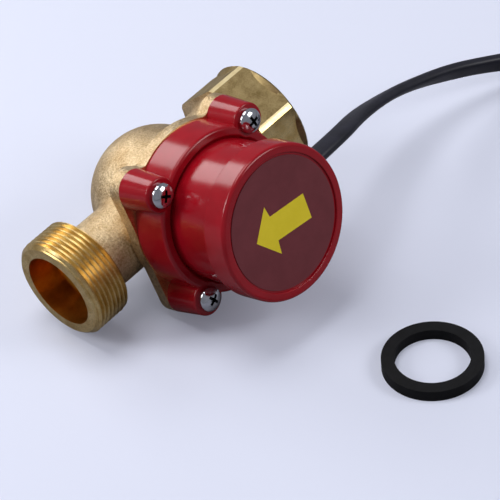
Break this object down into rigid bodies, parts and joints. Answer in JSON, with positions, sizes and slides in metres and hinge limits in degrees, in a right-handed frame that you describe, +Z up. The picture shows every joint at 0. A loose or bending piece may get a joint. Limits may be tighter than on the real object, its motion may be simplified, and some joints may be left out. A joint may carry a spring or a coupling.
{
  "type": "water flow switch",
  "caption": "Water flow switch: cast brass body with a threaded outlet and hexagon inlet, hinged paddle inside, red round switch head, flat cable, washer beside it.",
  "frame": {"origin": "on the table, under the middle of the valve and its washer", "axes": "+Z up from the table, +X level, along the flow line's plan towards the inlet and the cable, -Y the way the cap faces"},
  "size_m": [0.3412, 0.2033, 0.0873],
  "materials": {
    "brass": "sand-cast and shot-blasted, threads and faces machined bright",
    "seal_rubber": "matt moulded rubber",
    "red_plastic": "glossy moulding, deep red",
    "label_face": "maroon printed disc with a plain yellow flow arrow",
    "plated_screws": "bright plated steel",
    "stainless": "stainless steel",
    "switch_case": "black thermoset moulding",
    "blade_brass": "stamped brass",
    "core_brown": "brown core insulation",
    "core_blue": "blue core insulation",
    "black_moulding": "black nylon",
    "black_rubber": "matt black rubber",
    "cable_jacket": "black flexible jacket with a satin surface",
    "white_moulding": "natural acetal",
    "magnet": "nickel-plated magnet",
    "button_red": "red thermoplastic"
  },
  "bodies": {
    "valve": {"brass_body": "brass", "flange_ring": "seal_rubber", "sensor_base": "red_plastic", "cap": "red_plastic", "label_disc": "label_face", "cover_screws": "plated_screws", "paddle_pin": "stainless", "rocker_pin": "stainless", "switch_body": "switch_case", "switch_terminals": "blade_brass", "switch_screws": "plated_screws", "core_brown": "core_brown", "core_blue": "core_blue", "cable_clamp": "black_moulding", "clamp_screws": "plated_screws", "cable_bush": "black_rubber", "cable": "cable_jacket", "cable_coil": "cable_jacket", "coil_tie": "black_moulding", "sealing_washer": "black_rubber"},
    "paddle": {"paddle_arm": "white_moulding", "paddle_plate": "stainless", "paddle_rivets": "stainless", "drive_magnet": "magnet"},
    "follower": {"rocker": "white_moulding", "follower_magnet": "magnet"},
    "plunger": {"switch_button": "button_red"}
  },
  "joints": [
    {"name": "paddle_swing", "type": "hinge", "parent": "valve", "child": "paddle", "pos_m": [0.00417, 0.04956, 0.03624], "axis": [-0.0913, 0.3, 0.9496], "range_deg": [0, 40]},
    {"name": "follower_tilt", "type": "hinge", "parent": "valve", "child": "follower", "pos_m": [0.00348, 0.02667, 0.04341], "axis": [0.0913, -0.3, -0.9496], "range_deg": [0, 20]},
    {"name": "plunger_slide", "type": "slide", "parent": "valve", "child": "plunger", "axis": [-0.9954, 0, -0.0957], "range_m": [0, 0.0014]}
  ],
  "couplings": [
    {"joint": "follower_tilt", "follows": "paddle_swing", "ratio": 0.5},
    {"joint": "plunger_slide", "follows": "paddle_swing", "m_per_rad": 0.002}
  ]
}
